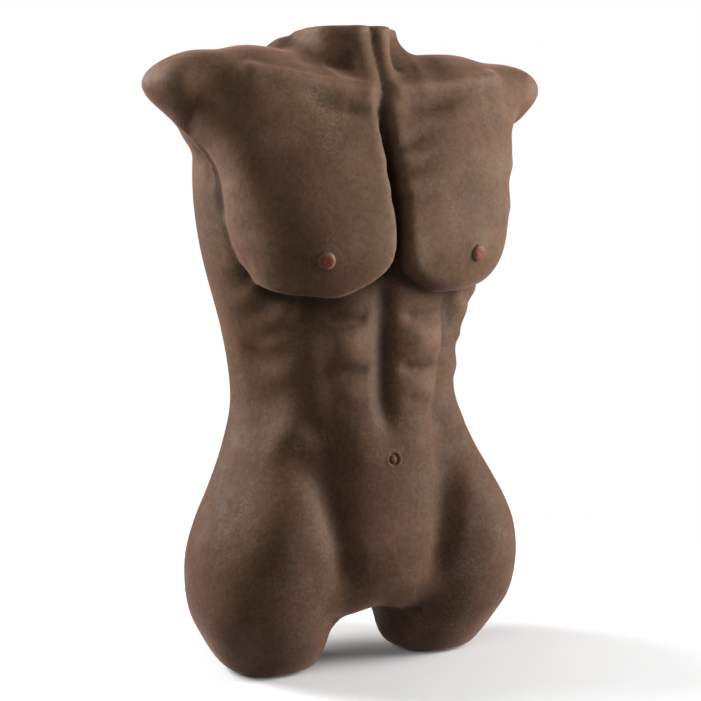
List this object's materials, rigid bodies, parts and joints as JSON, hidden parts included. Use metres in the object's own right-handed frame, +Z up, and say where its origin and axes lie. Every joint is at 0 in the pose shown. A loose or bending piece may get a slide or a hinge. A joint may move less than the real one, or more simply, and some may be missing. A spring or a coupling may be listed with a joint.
{
  "type": "torso mannequin",
  "caption": "Headless, armless male torso mannequin that stands on its thigh stumps: a dark moulded skin over a foam core and steel frame, with a plain closed groin.",
  "frame": {"origin": "on the floor, under the centre of the body's bounding box, between the two thigh stumps", "axes": "+Z up, from the thigh stumps to the neck; -Y is the front, the way the chest faces; +X is the body's own left"},
  "size_m": [0.475, 0.2744, 0.7],
  "materials": {
    "skin": "matte moulded elastomer with a faint bloom",
    "nipple": "matte moulded elastomer, redder than the skin",
    "core_foam": "open-cell polyurethane foam",
    "frame_tube": "zinc-plated steel tube",
    "fitting": "sand-cast aluminium",
    "steel_plate": "zinc-plated steel",
    "fastener": "zinc-plated steel",
    "grub_screw": "black oxide",
    "ball_plastic": "moulded nylon",
    "board_wood": "birch plywood",
    "pad_rubber": "matte black rubber"
  },
  "bodies": {
    "root": {"torso_skin": "skin", "nipple_left": "nipple", "nipple_right": "nipple", "foam_core_front": "core_foam", "foam_core_back": "core_foam", "spine_tube": "frame_tube", "shoulder_arm_left": "frame_tube", "shoulder_arm_right": "frame_tube", "hip_arm_left": "frame_tube", "hip_arm_right": "frame_tube", "thigh_post_left": "frame_tube", "thigh_post_right": "frame_tube", "shoulder_cross": "fitting", "pelvis_tee": "fitting", "hip_elbow_left": "fitting", "hip_elbow_right": "fitting", "sole_flange_left": "fitting", "sole_flange_right": "fitting", "neck_plate": "steel_plate", "lift_nut": "fastener", "shoulder_grub_screws": "grub_screw", "pelvis_grub_screws": "grub_screw", "hip_grub_screws_left": "grub_screw", "hip_grub_screws_right": "grub_screw", "flange_grub_screw_left": "grub_screw", "flange_grub_screw_right": "grub_screw", "flange_screws_left": "fastener", "flange_screws_right": "fastener", "pad_screws_left": "fastener", "pad_screws_right": "fastener", "stump_ball_left": "ball_plastic", "stump_ball_right": "ball_plastic", "sole_board_left": "board_wood", "sole_board_right": "board_wood", "base_pad_left": "pad_rubber", "base_pad_right": "pad_rubber"}
  },
  "joints": []
}
